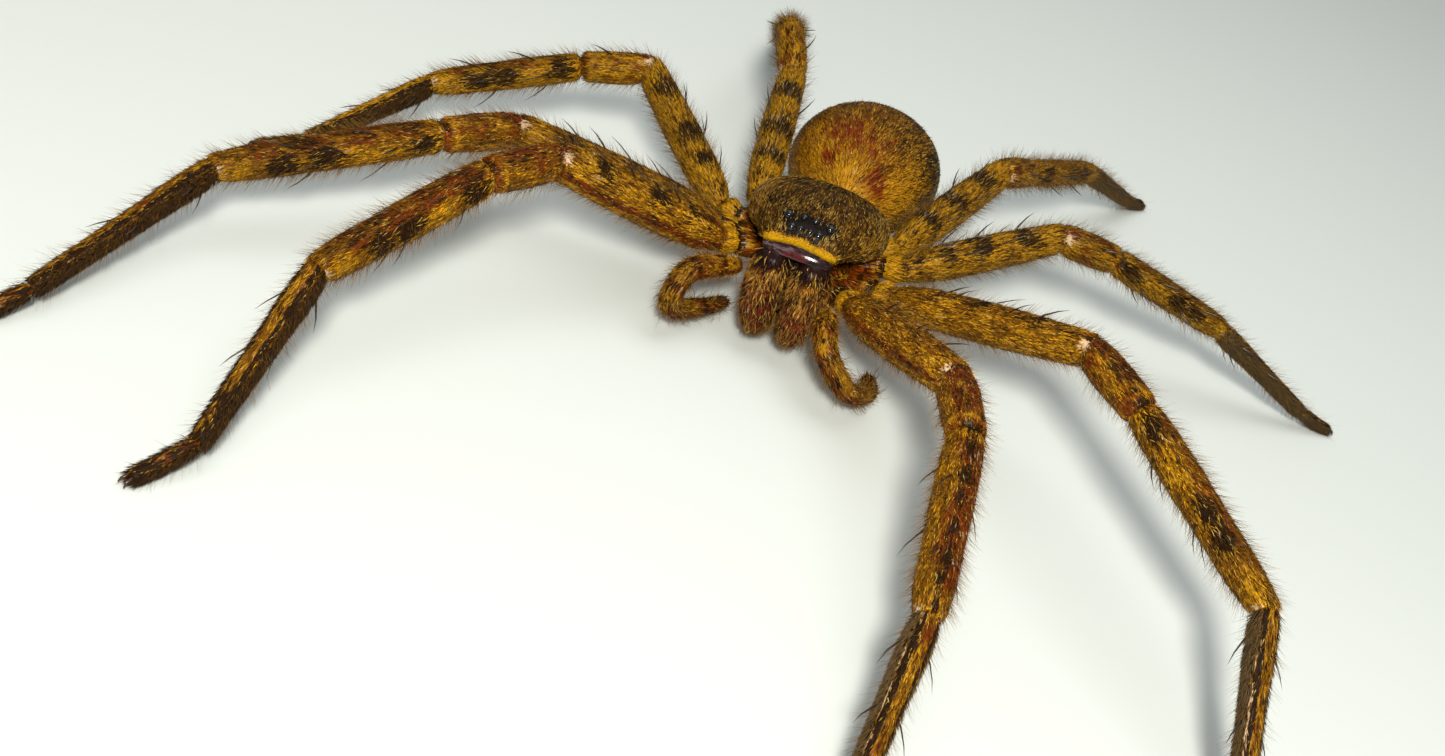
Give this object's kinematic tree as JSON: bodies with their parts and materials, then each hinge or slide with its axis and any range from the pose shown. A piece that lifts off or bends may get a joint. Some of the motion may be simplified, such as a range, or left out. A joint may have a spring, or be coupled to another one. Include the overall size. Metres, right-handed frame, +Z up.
{
  "type": "huntsman spider",
  "caption": "Life-size still model of a large brown huntsman spider resting on the floor, long hairy spined legs held out sideways, flat body.",
  "frame": {"origin": "the floor under the middle of the model's box, at the level of the soles", "axes": "+Z up, square to the floor; the spider faces -Y, with her left side at +X; her length with the legs runs along Y"},
  "size_m": [0.0816, 0.0974, 0.0135],
  "materials": {
    "leg": "ochre cuticle with brown-black blotches and close golden hair",
    "foot": "red-brown to black cuticle with a dense dark brush of hair below",
    "carapace": "dark olive-brown dome with a yellow band across the face",
    "underside": "yellow-brown cuticle with short hair",
    "abdomen": "olive-brown velvet of short hair with orange and dark red spots",
    "chelicera": "dark red-brown, bare and glossy at the top, hairy below",
    "palp": "ochre cuticle, hairy, darker at the tip",
    "fang": "glossy black-red horn",
    "eye": "glossy black lens"
  },
  "bodies": {
    "root": {"abdomen": "abdomen", "carapace": "carapace", "left_chelicera": "chelicera", "left_fang": "fang", "left_front_middle_eye": "eye", "left_front_side_eye": "eye", "left_leg_1_femur": "leg", "left_leg_1_metatarsus": "foot", "left_leg_1_patella": "leg", "left_leg_1_tarsus": "foot", "left_leg_1_tibia": "leg", "left_leg_2_femur": "leg", "left_leg_2_metatarsus": "foot", "left_leg_2_patella": "leg", "left_leg_2_tarsus": "foot", "left_leg_2_tibia": "leg", "left_leg_3_femur": "leg", "left_leg_3_metatarsus": "foot", "left_leg_3_patella": "leg", "left_leg_3_tarsus": "foot", "left_leg_3_tibia": "leg", "left_leg_4_femur": "leg", "left_leg_4_metatarsus": "foot", "left_leg_4_patella": "leg", "left_leg_4_tarsus": "foot", "left_leg_4_tibia": "leg", "left_palp": "palp", "left_rear_middle_eye": "eye", "left_rear_side_eye": "eye", "pedicel": "underside", "right_chelicera": "chelicera", "right_fang": "fang", "right_front_middle_eye": "eye", "right_front_side_eye": "eye", "right_leg_1_femur": "leg", "right_leg_1_metatarsus": "foot", "right_leg_1_patella": "leg", "right_leg_1_tarsus": "foot", "right_leg_1_tibia": "leg", "right_leg_2_femur": "leg", "right_leg_2_metatarsus": "foot", "right_leg_2_patella": "leg", "right_leg_2_tarsus": "foot", "right_leg_2_tibia": "leg", "right_leg_3_femur": "leg", "right_leg_3_metatarsus": "foot", "right_leg_3_patella": "leg", "right_leg_3_tarsus": "foot", "right_leg_3_tibia": "leg", "right_leg_4_femur": "leg", "right_leg_4_metatarsus": "foot", "right_leg_4_patella": "leg", "right_leg_4_tarsus": "foot", "right_leg_4_tibia": "leg", "right_palp": "palp", "right_rear_middle_eye": "eye", "right_rear_side_eye": "eye", "spinnerets": "abdomen", "sternum": "underside"}
  },
  "joints": []
}
